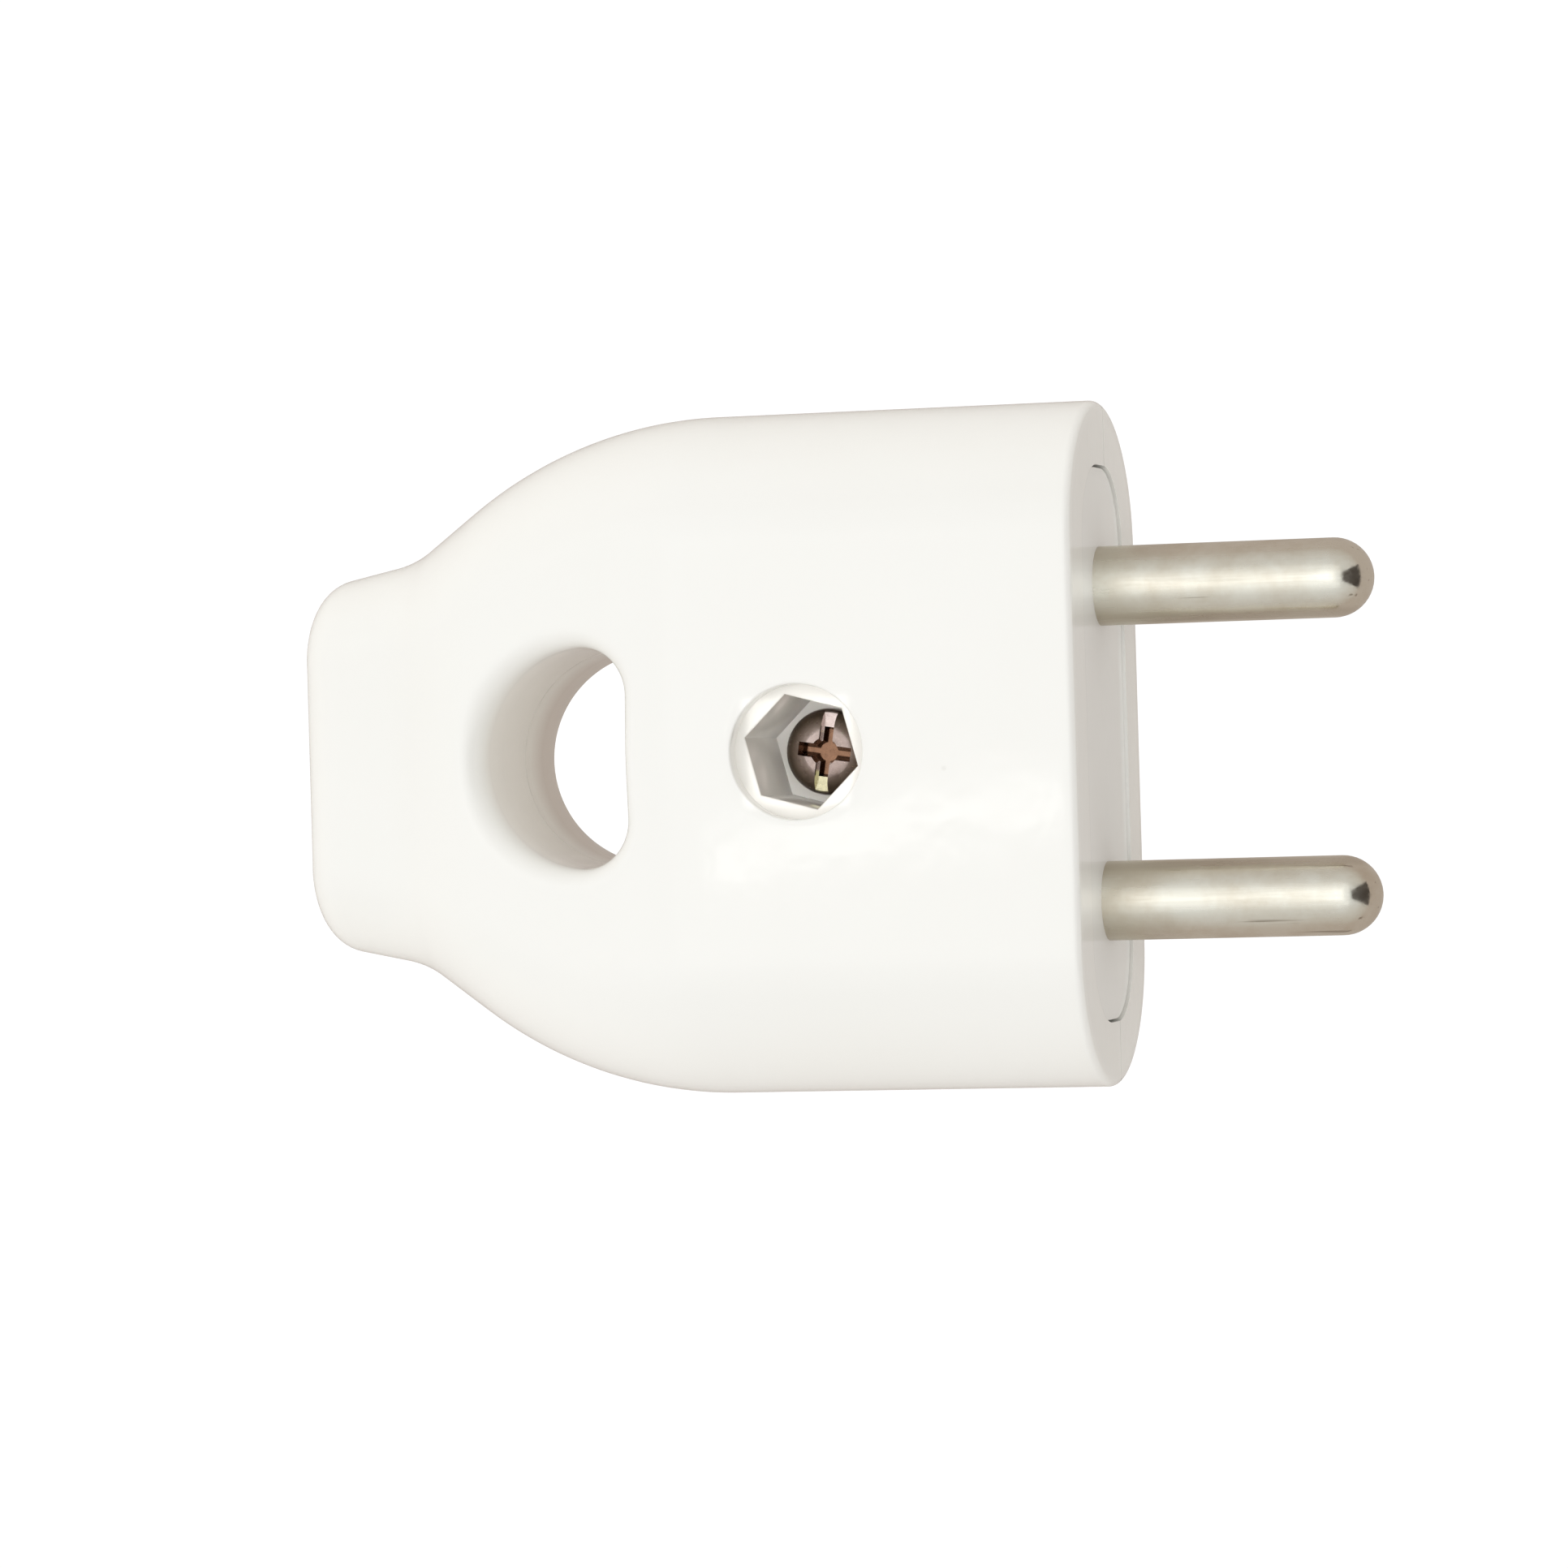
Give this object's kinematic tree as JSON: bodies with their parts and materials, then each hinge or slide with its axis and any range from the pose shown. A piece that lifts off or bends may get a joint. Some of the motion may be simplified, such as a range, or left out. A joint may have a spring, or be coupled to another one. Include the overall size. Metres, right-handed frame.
{
  "type": "two-pin plug",
  "caption": "Rewirable mains plug: round pins on a flat oval face, split moulded body with a central housing screw, finger hole for pulling and a cord inlet in the tail.",
  "frame": {"origin": "middle of the pin face, half way between the pins and on their axes", "axes": "+X out along the pins, +Y across the pins, +Z out of the broad face that takes the housing screw"},
  "size_m": [0.0659, 0.0414, 0.0198],
  "materials": {
    "shell_plastic": "glossy white moulding",
    "carrier_plastic": "glossy white moulding",
    "pin_metal": "nickel plate over turned brass",
    "screw_steel": "yellow zinc plate",
    "nut_steel": "bright zinc plate",
    "strap_plastic": "natural white moulding"
  },
  "bodies": {
    "root": {"front_shell": "shell_plastic", "rear_shell": "shell_plastic", "pin_carrier": "carrier_plastic", "left_pin": "pin_metal", "right_pin": "pin_metal", "left_terminal_screw": "screw_steel", "right_terminal_screw": "screw_steel", "housing_screw": "screw_steel", "housing_nut": "nut_steel", "cord_saddle": "strap_plastic", "left_clamp_screw": "screw_steel", "right_clamp_screw": "screw_steel"}
  },
  "joints": []
}
